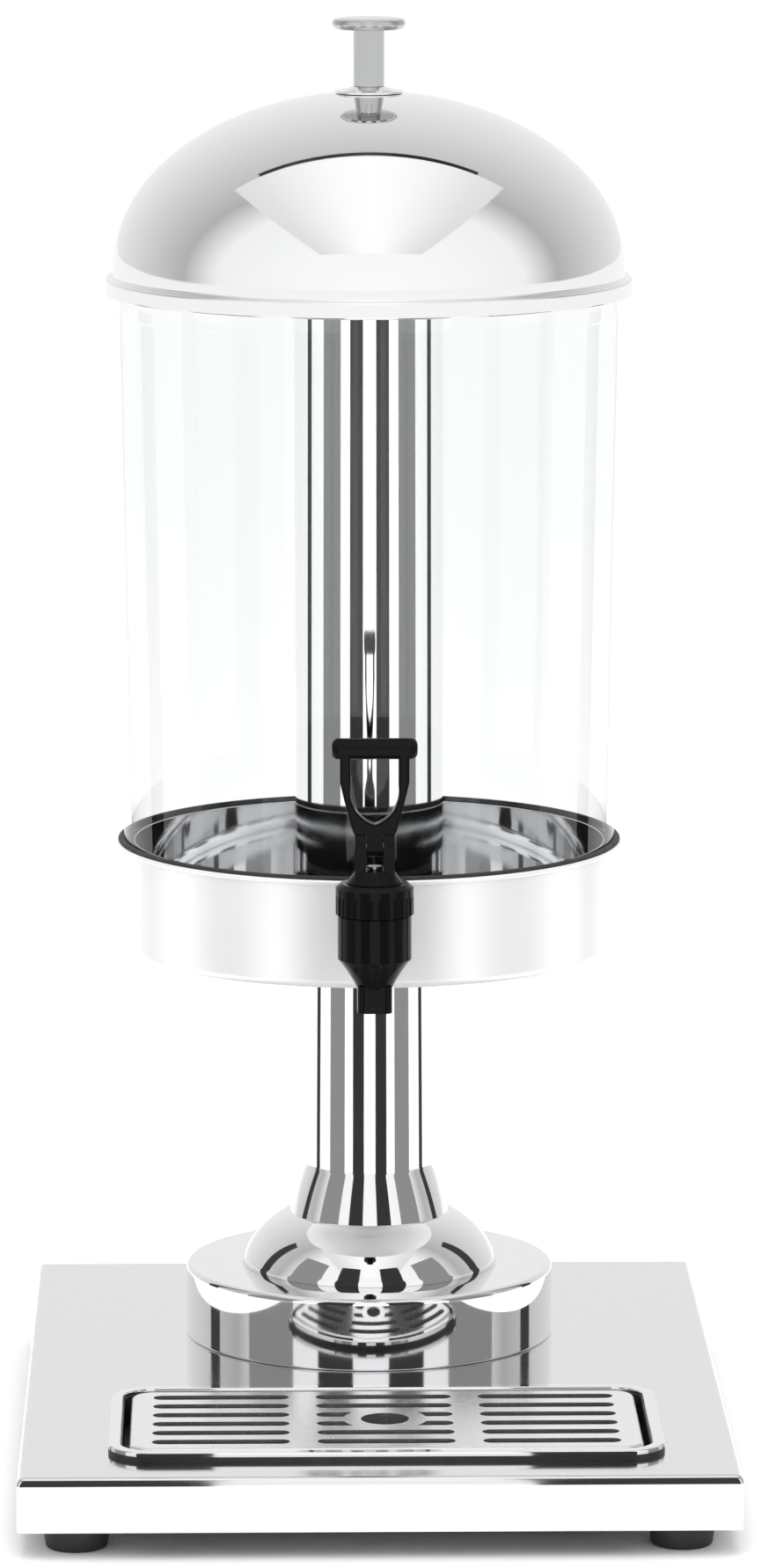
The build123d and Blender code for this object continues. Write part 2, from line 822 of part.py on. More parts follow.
# Rubber washers shaped to the round walls, and the spacer between cup and pan.
with BuildPart() as tap_outer_washer:
    with BuildSketch(facing_front(flange_back, tap_z)):
        Circle(tap_washer_radius)
        Circle(tap_shank_radius + fit_gap, mode=Mode.SUBTRACT)
    extrude(amount=-2 * tap_washer_thickness)
    with BuildSketch(on_column(cup_floor)):
        Circle(cup_radius)
    extrude(amount=cup_height, mode=Mode.SUBTRACT)
save(tap_outer_washer.part, "tap_outer_washer")

with BuildPart() as tap_inner_washer:
    with BuildSketch(facing_front(shank_nut_front, tap_z)):
        Circle(tap_washer_radius)
        Circle(tap_shank_radius + fit_gap, mode=Mode.SUBTRACT)
    extrude(amount=2 * tap_washer_thickness)
    with BuildSketch(on_column(cup_floor)):
        Circle(pan_radius - pan_skin)
    extrude(amount=cup_height, mode=Mode.INTERSECT)
save(tap_inner_washer.part, "tap_inner_washer")

with BuildPart() as tap_spacer:
    with BuildSketch(facing_front(pan_front + 4.0, tap_z)):
        Circle(tap_shank_radius + 2.5)
        Circle(tap_shank_radius + fit_gap, mode=Mode.SUBTRACT)
    extrude(amount=cup_radius - pan_radius + 4.0)
    with BuildSketch(on_column(cup_floor)):
        Circle(cup_radius - cup_skin)
    extrude(amount=cup_height, mode=Mode.INTERSECT)
    with BuildSketch(on_column(cup_floor)):
        Circle(pan_radius)
    extrude(amount=cup_height, mode=Mode.SUBTRACT)
save(tap_spacer.part, "tap_spacer")

with BuildPart() as tap_shank_nut:
    with BuildSketch(facing_front(shank_nut_front, tap_z)):
        RegularPolygon(shank_nut_across / 2, 6, major_radius=False)
        Circle(tap_shank_radius + thread_slip, mode=Mode.SUBTRACT)
    extrude(amount=-shank_nut_thickness)
save(tap_shank_nut.part, "tap_shank_nut")

# Ribbed ring nut that clamps the bonnet on the body.
lip_radius = bonnet_cone_radius + slip
with BuildPart() as tap_bonnet_nut:
    with BuildSketch(tap):
        with BuildLine():
            bore = body_thread_radius + thread_slip
            Polyline(
                (bore, nut_foot),
                (nut_radius, nut_foot),
                (nut_radius, nut_top - 1.6),
                (nut_radius - 2.0, nut_top),
                (lip_radius, nut_top),
                (lip_radius, bonnet_flange_top + thread_slip),
                (bore, bonnet_flange_top + thread_slip),
                close=True,
            )
        make_face()
    revolve(axis=tap_upright)
    with BuildSketch(on_tap(nut_foot)):
        with PolarLocations(nut_radius, nut_ribs):
            Circle(nut_rib_radius)
    extrude(amount=0.6 * nut_height, mode=Mode.SUBTRACT)
save(tap_bonnet_nut.part, "tap_bonnet_nut")

# Bonnet: flange and plug in the body, cone, and two cheeks that hold the lever's pin.
head_gap = 0.4
slot_foot = pin_z - lever_hub_radius - valve_lift - stem_head_thickness - 2 * head_gap
cavity_top = nut_top + 1.0
cone_top = nut_top + 5.0
with BuildPart() as tap_bonnet:
    with BuildSketch(tap):
        with BuildLine():
            Polyline(
                (0, thread_top - bonnet_plug_depth),
                (chamber_radius - fit_gap, thread_top - bonnet_plug_depth),
                (chamber_radius - fit_gap, thread_top),
                (body_thread_radius - fit_gap, thread_top),
                (body_thread_radius - fit_gap, bonnet_flange_top),
                (bonnet_cone_radius, bonnet_flange_top),
                (bonnet_cone_radius, nut_top + 0.4),
                (bonnet_width / 2 - 0.4, cone_top),
                (0, cone_top),
                close=True,
            )
        make_face()
    revolve(axis=tap_upright)
    with BuildSketch(Plane(origin=(-bonnet_width / 2, tap_axis_y, pin_z), x_dir=(0, 1, 0), z_dir=(1, 0, 0))):
        Circle(bonnet_top_radius)
        with Locations((0, (nut_top - pin_z) / 2)):
            Rectangle(bonnet_depth, pin_z - nut_top)
    extrude(amount=bonnet_width)
    with BuildSketch(on_tap(slot_foot)):
        Rectangle(tongue_width + 2 * slip, 2 * bonnet_depth)
    extrude(amount=2 * pin_rise, mode=Mode.SUBTRACT)
    with BuildSketch(on_tap(thread_top - bonnet_plug_depth)):
        Circle(bonnet_cavity_radius)
    extrude(amount=cavity_top - thread_top + bonnet_plug_depth, mode=Mode.SUBTRACT)
    with BuildSketch(on_tap(cavity_top)):
        Circle(valve_stem_radius + running_slip)
    extrude(amount=pin_rise, mode=Mode.SUBTRACT)
    with BuildSketch(Plane(origin=(-bonnet_width, tap_axis_y, pin_z), x_dir=(0, 1, 0), z_dir=(1, 0, 0))):
        Circle(pin_radius)
    extrude(amount=2 * bonnet_width, mode=Mode.SUBTRACT)
save(tap_bonnet.part, "tap_bonnet")

with BuildPart() as lever_pin:
    with BuildSketch(Plane(origin=(-bonnet_width / 2, tap_axis_y, pin_z), x_dir=(0, 1, 0), z_dir=(1, 0, 0))):
        Circle(pin_radius)
    extrude(amount=bonnet_width)
save(lever_pin.part, "lever_pin")

# Lever: tongue between the cheeks, a D-shaped loop and a round cross-bar.
shoulder_radius = bonnet_top_radius + 0.3
loop_foot = pin_z + shoulder_radius + 2.2
bar_z = loop_foot + lever_loop_height + lever_bar_radius
half_in = lever_width / 2 - lever_leg
half_out = lever_width / 2
with BuildPart() as tap_lever:
    with BuildSketch(Plane(origin=(0, tap_axis_y + lever_depth / 2, 0), x_dir=(1, 0, 0), z_dir=(0, -1, 0))):
        with BuildLine():
            Polyline((0, bar_z), (half_out, bar_z), (half_out, bar_z - 12))
            ThreePointArc(
                (half_out, bar_z - 12),
                (half_out - 1.9, bar_z - 20),
                (bonnet_width / 2, pin_z + 3.0),
            )
            Line((bonnet_width / 2, pin_z + 3.0), (0, pin_z + 3.0))
            mirror(about=Plane.YZ)
        make_face()
        with BuildLine():
            Polyline((0, bar_z), (half_in, bar_z), (half_in, bar_z - 14))
            ThreePointArc((half_in, bar_z - 14), (half_in - 2.4, loop_foot + 4.6), (0, loop_foot))
            mirror(about=Plane.YZ)
        make_face(mode=Mode.SUBTRACT)
    extrude(amount=lever_depth)
    fillet(tap_lever.edges().filter_by(Axis.Y, reverse=True).group_by(Axis.Y)[0], 1.0)
    fillet(tap_lever.edges().filter_by(Axis.Y, reverse=True).group_by(Axis.Y)[-1], 1.0)
    with BuildSketch(Plane(origin=(-bonnet_width, tap_axis_y, pin_z), x_dir=(0, 1, 0), z_dir=(1, 0, 0))):
        Circle(shoulder_radius)
    extrude(amount=2 * bonnet_width, mode=Mode.SUBTRACT)
    with BuildSketch(Plane(origin=(-tongue_width / 2, tap_axis_y, pin_z), x_dir=(0, 1, 0), z_dir=(1, 0, 0))):
        Circle(lever_hub_radius)
        with Locations((0, shoulder_radius / 2)):
            Rectangle(1.6 * lever_hub_radius, shoulder_radius + 1.0)
    extrude(amount=tongue_width)
    with BuildSketch(Plane(origin=(-lever_bar_length / 2, tap_axis_y, bar_z), x_dir=(0, 1, 0), z_dir=(1, 0, 0))):
        Circle(lever_bar_radius)
    extrude(amount=lever_bar_length)
    bar_ends = tap_lever.faces().filter_by(Axis.X)
    fillet((bar_ends.sort_by(Axis.X)[0] + bar_ends.sort_by(Axis.X)[-1]).edges(), 2.4)
    with BuildSketch(Plane(origin=(-bonnet_width, tap_axis_y, pin_z), x_dir=(0, 1, 0), z_dir=(1, 0, 0))):
        Circle(pin_radius + running_slip)
    extrude(amount=2 * bonnet_width, mode=Mode.SUBTRACT)
save(tap_lever.part, "tap_lever")

# Valve: rubber seat cup on a stem that the lever lifts, and the spring that shuts it.
cup_top_z = seat_top + 4.0
stem_head_z = slot_foot + head_gap
with BuildPart() as seat_cup:
    with BuildSketch(tap):
        with BuildLine():
            Polyline(
                (0, cup_top_z),
                (4.6, cup_top_z),
                (6.4, seat_top + 0.8),
                (6.4, seat_top + fit_gap),
                (0, seat_top + fit_gap),
                close=True,
            )
        make_face()
    revolve(axis=tap_upright)
    with BuildSketch(on_tap(cup_top_z)):
        Circle(valve_stem_radius)
    extrude(amount=-2.5, mode=Mode.SUBTRACT)
save(seat_cup.part, "seat_cup")

with BuildPart() as valve_stem:
    with BuildSketch(on_tap(cup_top_z - 2.5)):
        Circle(valve_stem_radius)
    extrude(amount=stem_head_z - cup_top_z + 2.5)
    with BuildSketch(on_tap(stem_head_z)):
        Circle(tongue_width / 2 - slip)
    extrude(amount=stem_head_thickness)
save(valve_stem.part, "valve_stem")

coil_radius = bonnet_cavity_radius - spring_wire / 2 - 0.6
spring_foot = cup_top_z + spring_wire / 2 + fit_gap
spring_height = cavity_top - fit_gap - spring_wire / 2 - spring_foot
with BuildPart() as valve_spring:
    with BuildLine(on_tap(spring_foot)) as coil:
        Helix(pitch=spring_height / spring_turns, height=spring_height, radius=coil_radius)
    with BuildSketch(Plane(origin=coil.line @ 0, z_dir=coil.line % 0)):
        Circle(spring_wire / 2)
    sweep(path=coil.line, is_frenet=True)
save(valve_spring.part, "valve_spring")

# ---- drip tray ----

# Moulded tray let into the deck. Its rim stands on the deck around the cut-out.
with BuildPart() as drip_tray:
    with BuildSketch(level(deck, *tray_place)):
        RectangleRounded(tray_width, tray_depth, tray_corner)
    extrude(amount=tray_rim_height - trim_height)
    fillet(drip_tray.faces().sort_by(Axis.Z)[-1].edges(), 0.4)
    with BuildSketch(level(tray_floor, *tray_place)):
        RectangleRounded(tray_body_width, tray_body_depth, tray_body_corner)
    extrude(amount=tray_sink)
    fillet(drip_tray.faces().sort_by(Axis.Z)[0].edges(), 2.0)
    with BuildSketch(level(deck, *tray_place)):
        RectangleRounded(
            tray_width - 2 * tray_skin, tray_depth - 2 * tray_skin, tray_corner - tray_skin
        )
        RectangleRounded(tray_body_width, tray_body_depth, tray_body_corner, mode=Mode.SUBTRACT)
    extrude(amount=tray_rim_height - trim_height - tray_skin, mode=Mode.SUBTRACT)
    with BuildSketch(level(grille_foot, *tray_place)):
        RectangleRounded(
            tray_body_width - 2 * tray_skin,
            tray_body_depth - 2 * tray_skin,
            tray_body_corner - tray_skin,
        )
    extrude(amount=tray_sink + tray_rim_height, mode=Mode.SUBTRACT)
save(drip_tray.part, "drip_tray")

# Steel trim on the tray's rim.
with BuildPart() as tray_trim:
    with BuildSketch(level(deck + tray_rim_height - trim_height, *tray_place)):
        RectangleRounded(tray_width, tray_depth, tray_corner)
        RectangleRounded(
            tray_width - 2 * trim_width,
            tray_depth - 2 * trim_width,
            tray_corner - trim_width,
            mode=Mode.SUBTRACT,
        )
    extrude(amount=trim_height)
    fillet(tray_trim.faces().sort_by(Axis.Z)[-1].edges(), 0.7)
save(tray_trim.part, "tray_trim")

# Slotted grille, folded down all round to stand on the tray's floor.
grille_width = tray_width - 2 * tray_rim_width - 2 * tray_gap
grille_depth = tray_depth - 2 * tray_rim_width - 2 * tray_gap
grille_corner = tray_corner - tray_rim_width - tray_gap
middle_rows = [0.5 - slot_rows / 2 + row for row in range(slot_rows)]
with BuildPart() as drip_grille:
    with BuildSketch(level(grille_foot, *tray_place)):
        RectangleRounded(grille_width, grille_depth, grille_corner)
    extrude(amount=grille_top - grille_foot)
    fillet(drip_grille.faces().sort_by(Axis.Z)[-1].edges(), grille_bend)
    offset(amount=-grille_skin, openings=drip_grille.faces().sort_by(Axis.Z)[0])
    with BuildSketch(level(grille_top, *tray_place)):
        with GridLocations(group_pitch, slot_pitch, group_count, slot_rows):
            SlotOverall(slot_length, slot_width)
        Circle(drain_radius + drain_land, mode=Mode.SUBTRACT)
        Circle(drain_radius)
    extrude(amount=-2 * grille_skin, mode=Mode.SUBTRACT)
save(drip_grille.part, "drip_grille")
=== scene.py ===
from math import cos, pi, radians, sin, tan

import bpy
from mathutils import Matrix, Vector


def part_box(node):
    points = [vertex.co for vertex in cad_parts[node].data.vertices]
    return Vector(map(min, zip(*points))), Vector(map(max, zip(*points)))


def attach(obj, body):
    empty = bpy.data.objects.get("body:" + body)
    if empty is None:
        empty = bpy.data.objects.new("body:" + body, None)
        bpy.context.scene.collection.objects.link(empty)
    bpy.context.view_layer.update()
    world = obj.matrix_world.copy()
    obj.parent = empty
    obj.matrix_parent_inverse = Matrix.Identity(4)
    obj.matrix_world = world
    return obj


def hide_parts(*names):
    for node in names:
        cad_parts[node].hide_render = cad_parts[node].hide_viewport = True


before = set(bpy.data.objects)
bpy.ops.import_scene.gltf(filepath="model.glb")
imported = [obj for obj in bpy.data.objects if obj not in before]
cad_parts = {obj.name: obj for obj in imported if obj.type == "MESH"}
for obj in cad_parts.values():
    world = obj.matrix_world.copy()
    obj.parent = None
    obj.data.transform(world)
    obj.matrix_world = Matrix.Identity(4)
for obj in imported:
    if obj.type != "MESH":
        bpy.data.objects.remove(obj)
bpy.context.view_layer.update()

# Countertop cold drink dispenser, in metres, +Z up, with the tap facing -Y.
# Positions come from the CAD nodes' boxes; gauges and small radii are the maker's.

# ---- camera ----
# A long lens stands a little above the tank's middle.
# It is turned slightly, so that the column is left of the picture's centre.
camera_data = bpy.data.cameras.new("camera")
camera_data.lens = 183.0
camera = bpy.data.objects.new("camera", camera_data)
camera.location = (-0.0526, -2.9435, 0.7349)
camera.rotation_euler = (radians(90 - 9.309), 0, radians(-1.088))
bpy.context.scene.collection.objects.link(camera)
bpy.context.scene.camera = camera
bpy.context.scene.view_settings.view_transform = "Standard"

# ---- room ----
# A pale room lights everything evenly. In the steel it is white behind the camera, grey at the sides
# and overhead, and pale behind the dispenser, so that domes and rims keep an edge.
room = bpy.data.worlds.new("studio")
room.use_nodes = True
nodes = room.node_tree.nodes
links = room.node_tree.links
air = nodes["Background"]
air.inputs["Color"].default_value = (1, 1, 1, 1)
direction = nodes.new("ShaderNodeTexCoord")
split = nodes.new("ShaderNodeSeparateXYZ")
depth = nodes.new("ShaderNodeMapRange")
depth.inputs["From Min"].default_value = -1
walls = nodes.new("ShaderNodeValToRGB")
for _ in range(2):
    walls.color_ramp.elements.new(1.0)
room_walls = ((0, 1.1), (0.35, 1.0), (0.52, 0.50), (1, 0.92))
for wall, (position, shade) in zip(walls.color_ramp.elements, room_walls):
    wall.position = position
    wall.color = (shade, shade, shade, 1)
ray = nodes.new("ShaderNodeLightPath")
pick = nodes.new("ShaderNodeMix")
pick.inputs["A"].default_value = 1.12
links.new(direction.outputs["Generated"], split.inputs["Vector"])
links.new(split.outputs["Y"], depth.inputs["Value"])
links.new(depth.outputs["Result"], walls.inputs["Fac"])
links.new(ray.outputs["Is Glossy Ray"], pick.inputs["Factor"])
links.new(walls.outputs["Color"], pick.inputs["B"])
links.new(pick.outputs["Result"], air.inputs["Strength"])
bpy.context.scene.world = room

# ---- floor ----
# A plain pale sheet, far wider than the dispenser.
# It is matt, so that it shows only soft shadows and no reflection.
floor_white = bpy.data.materials.new("floor_white")
floor_white.use_nodes = True
floor_shader = floor_white.node_tree.nodes["Principled BSDF"]
floor_shader.inputs["Base Color"].default_value = (0.93, 0.93, 0.93, 1)
floor_shader.inputs["Roughness"].default_value = 0.75
bpy.ops.object.select_all(action="DESELECT")
bpy.ops.mesh.primitive_plane_add(size=24, location=(0, 0, 0))
floor = bpy.context.object
floor.name = "floor"
floor.data.materials.append(floor_white)


# ---- grey boards ----
# Three mirrored pairs of plain boards stand round the column, as a studio's flags do.
# Only reflections see them, and they give the polished steel its dark and light bands.
def board_face(name, left, right):
    """A face that glows evenly, or fades from its left edge to its right edge."""
    material = bpy.data.materials.new(name)
    material.use_nodes = True
    nodes = material.node_tree.nodes
    links = material.node_tree.links
    shader = nodes["Principled BSDF"]
    shader.inputs["Base Color"].default_value = (0, 0, 0, 1)
    shader.inputs["Roughness"].default_value = 1.0
    shader.inputs["Specular IOR Level"].default_value = 0
    shader.inputs["Emission Color"].default_value = (1, 1, 1, 1)
    place = nodes.new("ShaderNodeTexCoord")
    split = nodes.new("ShaderNodeSeparateXYZ")
    fade = nodes.new("ShaderNodeMapRange")
    fade.interpolation_type = "SMOOTHSTEP"
    fade.inputs["From Min"].default_value = -0.5
    fade.inputs["From Max"].default_value = 0.5
    fade.inputs["To Min"].default_value = left
    fade.inputs["To Max"].default_value = right
    links.new(place.outputs["Object"], split.inputs["Vector"])
    links.new(split.outputs["X"], fade.inputs["Value"])
    links.new(fade.outputs["Result"], shader.inputs["Emission Strength"])
    return material


def board(name, place, turn, width, height, left, right):
    """A board that only reflections see."""
    bpy.ops.object.select_all(action="DESELECT")
    bpy.ops.mesh.primitive_plane_add(size=1, location=place, rotation=turn)
    piece = bpy.context.object
    piece.name = name
    piece.scale = (width, height, 1)
    piece.data.materials.append(board_face(name, left, right))
    piece.visible_camera = False
    piece.visible_diffuse = False
    piece.visible_shadow = False
    piece.visible_transmission = False


tank_low, tank_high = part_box("tank")
axis_y = (tank_low[1] + tank_high[1]) / 2
board_distance = 0.34
board_low = 0.012
board_high = 0.40


def upright_board(name, azimuth, spread, shade):
    """A grey board beside the column; azimuth 0 is the camera's side, and spread is its width in degrees."""
    turn = radians(azimuth)
    middle = (board_low + board_high) / 2
    place = (board_distance * sin(turn), axis_y - board_distance * cos(turn), middle)
    width = 2 * board_distance * tan(radians(spread / 2))
    board(name, place, (pi / 2, 0, turn), width, board_high - board_low, shade, shade)


for hand, side in (("left", -1), ("right", 1)):
    upright_board("front_board_" + hand, side * 20, 20, 0.04)
    upright_board("side_board_" + hand, side * 60, 30, 0.30)
    upright_board("back_board_" + hand, side * 105, 10, 0.05)

# ---- ceiling softbox ----
# One large soft light hangs over the front of the dispenser.
# The steel sees its two fading halves, and the dark bar of its frame at the back.
ceiling_z = 1.75
board("softbox_frame", (0, 0.43, ceiling_z - 0.01), (pi, 0, 0), 1.42, 0.08, 0.03, 0.03)
board("softbox_face_left", (-0.5, -0.90, ceiling_z - 0.02), (pi, 0, 0), 1.0, 2.6, 0.85, 1.15)
board("softbox_face_right", (0.5, -0.90, ceiling_z - 0.02), (pi, 0, 0), 1.0, 2.6, 1.15, 0.85)
softbox = bpy.data.lights.new("ceiling_softbox", "AREA")
softbox.shape = "RECTANGLE"
softbox.size = 1.4
softbox.size_y = 2.4
softbox.energy = 20
softbox_lamp = bpy.data.objects.new("ceiling_softbox", softbox)
softbox_lamp.location = (0, -0.80, ceiling_z)
softbox_lamp.visible_camera = False
softbox_lamp.visible_glossy = False
bpy.context.scene.collection.objects.link(softbox_lamp)


# ---- base plate ----
# The stand's foot is a shallow box of stainless sheet, folded down at its edges and welded at its corners.
# Its top is polished along its width, so its shine is drawn out into fine lines.
def steel(name, colour, roughness, spread, grain):
    """Steel whose roughness wanders by spread either way, finer along the axes where grain is larger."""
    material = bpy.data.materials.new(name)
    material.use_nodes = True
    nodes = material.node_tree.nodes
    links = material.node_tree.links
    shader = nodes["Principled BSDF"]
    shader.inputs["Base Color"].default_value = (*colour, 1)
    shader.inputs["Metallic"].default_value = 1.0
    place = nodes.new("ShaderNodeTexCoord")
    stretch = nodes.new("ShaderNodeMapping")
    stretch.inputs["Scale"].default_value = grain
    noise = nodes.new("ShaderNodeTexNoise")
    noise.inputs["Scale"].default_value = 1.0
    noise.inputs["Detail"].default_value = 4.0
    rough = nodes.new("ShaderNodeMapRange")
    rough.inputs["From Min"].default_value = 0.3
    rough.inputs["From Max"].default_value = 0.7
    rough.inputs["To Min"].default_value = roughness - spread
    rough.inputs["To Max"].default_value = roughness + spread
    links.new(place.outputs["Object"], stretch.inputs["Vector"])
    links.new(stretch.outputs["Vector"], noise.inputs["Vector"])
    links.new(noise.outputs["Fac"], rough.inputs["Value"])
    links.new(rough.outputs["Result"], shader.inputs["Roughness"])
    return material


def finish(material, *node_names):
    """The CAD nodes take the material in each of their slots."""
    for node_name in node_names:
        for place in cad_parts[node_name].material_slots:
            place.material = material


deck_steel = steel("deck_steel", (0.78, 0.78, 0.79), 0.12, 0.02, (12, 300, 300))
finish(deck_steel, "base_plate")

# ---- under the deck ----
# Zinc-plated channels, a doubler and corner brackets stiffen the sheet from below.
# They are spot-welded to it, and the brackets carry the feet's screws and nuts.
plain_steel = steel("plain_steel", (0.60, 0.61, 0.62), 0.32, 0.08, (200, 200, 200))
finish(plain_steel, "stiffener_channels", "deck_doubler", "corner_brackets", "foot_screws", "foot_nuts")


# ---- feet ----
# Four moulded black rubber feet, screwed up into the corner brackets.
# They taper slightly towards the table.
def soft_black(name, colour, roughness, spread):
    """Moulded rubber or plastic, with the steel's wandering roughness and none of its metal."""
    material = steel(name, colour, roughness, spread, (160, 160, 160))
    material.node_tree.nodes["Principled BSDF"].inputs["Metallic"].default_value = 0.0
    return material


black_rubber = soft_black("black_rubber", (0.018, 0.018, 0.018), 0.6, 0.08)
finish(black_rubber, "rubber_feet")

# ---- drum ----
# A round stainless drum, spun from sheet and polished to a mirror.
# It stands on the deck with a fine groove at its foot, and carries the column.
mm = 0.001


def rounded(corners, steps=8):
    """An outline of (radius, height) points through corners (radius, height, rounding), in millimetres."""
    points = []
    last = len(corners) - 1
    for i, (r, z, rounding) in enumerate(corners):
        here = Vector((r, z))
        if rounding == 0 or i in (0, last):
            points.append(here)
            continue
        to_before = (Vector(corners[i - 1][:2]) - here).normalized()
        to_after = (Vector(corners[i + 1][:2]) - here).normalized()
        half_turn = to_before.angle(to_after) / 2
        reach = rounding * cos(half_turn) / sin(half_turn)
        centre = here + (to_before + to_after).normalized() * rounding / sin(half_turn)
        start = here + to_before * reach - centre
        end = here + to_after * reach - centre
        sweep = start.angle(end)
        points.append(here + to_before * (reach + 0.12))
        for step in range(steps + 1):
            t = step / steps
            points.append(centre + (start * sin(sweep * (1 - t)) + end * sin(sweep * t)) / sin(sweep))
        points.append(here + to_after * (reach + 0.12))
    return [(p.x, p.y) for p in points]


def turned(name, outline, around=160):
    """A ring of the outline's first radius, extruded, lifted and resized along the outline (millimetres)."""
    bpy.ops.object.select_all(action="DESELECT")
    r, z = outline[0]
    bpy.ops.mesh.primitive_circle_add(vertices=around, radius=r * mm, location=(0, axis_y, z * mm))
    piece = bpy.context.object
    piece.name = piece.data.name = name
    bpy.ops.object.mode_set(mode="EDIT")
    bpy.ops.mesh.select_all(action="SELECT")
    for next_r, next_z in outline[1:]:
        bpy.ops.mesh.extrude_region_move(TRANSFORM_OT_translate={"value": (0, 0, (next_z - z) * mm)})
        grow = next_r / r
        bpy.ops.transform.resize(value=(grow, grow, 1), center_override=(0, axis_y, next_z * mm))
        r, z = next_r, next_z
    bpy.ops.mesh.select_all(action="SELECT")
    bpy.ops.mesh.remove_doubles(threshold=0.000002)
    bpy.ops.mesh.normals_make_consistent(inside=False)
    bpy.ops.object.mode_set(mode="OBJECT")
    bpy.ops.object.transform_apply(location=True, rotation=True, scale=True)
    bpy.ops.object.shade_smooth_by_angle(angle=radians(32))
    return piece


def fit(piece, node, body, material):
    """The piece takes the place of a CAD node and its body."""
    piece.data.materials.clear()
    piece.data.materials.append(material)
    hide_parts(node)
    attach(piece, body)


def size(node):
    """(radius, lowest, highest) of a round node, in millimetres."""
    low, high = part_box(node)
    return (high[0] - low[0]) / 2 / mm, low[2] / mm, high[2] / mm


mirror_steel = steel("mirror_steel", (0.86, 0.865, 0.87), 0.045, 0.02, (30, 30, 30))
drum_r, deck_z, drum_z = size("base_drum")
bell_r, _, bell_z = size("bell_flange")
stem_foot_r, _, cup_z = size("stem")
skin = 1.2
drum_hole_r = bell_r - 8
drum = turned("drum", rounded([
    (drum_r - skin, deck_z, 0), (drum_r, deck_z, 0.9), (drum_r, drum_z, 2.0), (drum_hole_r, drum_z, 0),
    (drum_hole_r, drum_z - skin, 0), (drum_r - skin, drum_z - skin, 1.0), (drum_r - skin, deck_z, 0),
]))
fit(drum, "base_drum", "stand", mirror_steel)


# ---- bell ----
# A polished bell-shaped flange, spun in one piece.
# It covers the joint between the drum's top and the foot of the column.
def arc_through(a, b, c, steps):
    """Points on the arc from a through b to c, in millimetres."""
    a, b, c = Vector(a), Vector(b), Vector(c)
    ab, ac = b - a, c - a
    d = 2 * (ab.x * ac.y - ab.y * ac.x)
    centre = a + Vector((ac.y * ab.length_squared - ab.y * ac.length_squared,
                         ab.x * ac.length_squared - ac.x * ab.length_squared)) / d
    start, end = a - centre, c - centre
    sweep = start.angle(end)
    points = []
    for step in range(steps + 1):
        t = step / steps
        points.append(centre + (start * sin(sweep * (1 - t)) + end * sin(sweep * t)) / sin(sweep))
    return [(p.x, p.y) for p in points]


bell_shoulder = ((bell_r + stem_foot_r) / 2 + 2.7, drum_z + 12)
bell_curve = arc_through((bell_r, drum_z + 1.5), bell_shoulder, (stem_foot_r + 1, bell_z), 24)
bell_inside = [
    (stem_foot_r - 6, bell_z), (stem_foot_r - 6, bell_z - skin),
    (bell_r - 6, drum_z + 2), (bell_r - 2, drum_z + 0.05),
]
bell = turned("bell", [(bell_r - 2, drum_z + 0.05), (bell_r, drum_z + 0.05)] + bell_curve + bell_inside)
fit(bell, "bell_flange", "stand", mirror_steel)

# ---- column stem ----
# A polished steel tube that flares at its foot, where it sits on the bell.
# It tapers a little towards the cup that it holds up.
waist_r = 24.2
stem_top_r = 23.6
flare_z = bell_z + 19
flare_middle = ((waist_r + stem_foot_r) / 2 + 0.5, bell_z + 9.1)
flare = arc_through((stem_foot_r, bell_z), flare_middle, (waist_r, flare_z), 20)
stem = turned("column_stem", flare + [
    (waist_r, flare_z + 0.3), (stem_top_r, cup_z), (stem_top_r - skin, cup_z),
    (waist_r - skin, flare_z), (stem_foot_r - skin, bell_z), (stem_foot_r, bell_z),
])
fit(stem, "stem", "stand", mirror_steel)

# ---- tie rod ----
# A threaded rod runs down inside the stem, and its nut and washer pull the cup, stem and drum together.
# The stem's top is closed with a black plug that centres the rod.
matte_black_and_painted_shade = soft_black("matte_black_and_painted_shade", (0.02, 0.02, 0.021), 0.45, 0.08)
finish(matte_black_and_painted_shade, "stem_plug")
finish(plain_steel, "tie_rod", "tie_rod_nut", "tie_rod_washer")

# ---- cup ----
# The tank stands in a deep cup of thin steel, drawn from sheet, with its top edge rolled outwards.
# Its outside has a pale satin finish, so it hardly mirrors anything.
cup_steel = steel("cup_steel", (0.93, 0.93, 0.93), 0.36, 0.02, (60, 60, 60))
cup_steel.node_tree.nodes["Principled BSDF"].inputs["Metallic"].default_value = 0.45
cup_r = 95.6
cup_wall = 0.8
cup_bore_r = 6
bead_r = 0.9
_, cup_low, cup_high = size("tank_cup")
bead = [
    (cup_r + 0.1 + bead_r * cos(radians(a)), cup_high - bead_r + bead_r * sin(radians(a)))
    for a in range(-75, 181, 15)
]
cup_outside = rounded([(cup_bore_r, cup_low, 0), (cup_r, cup_low, 3.5), (cup_r, cup_high - 1.9, 0)])
cup_inside = rounded([
    (cup_r - cup_wall, cup_high - 1.5, 0), (cup_r - cup_wall, cup_low + cup_wall, 2.7),
    (cup_bore_r, cup_low + cup_wall, 0), (cup_bore_r, cup_low, 0),
])
cup = turned("cup", cup_outside + bead + cup_inside, 192)
fit(cup, "tank_cup", "stand", cup_steel)

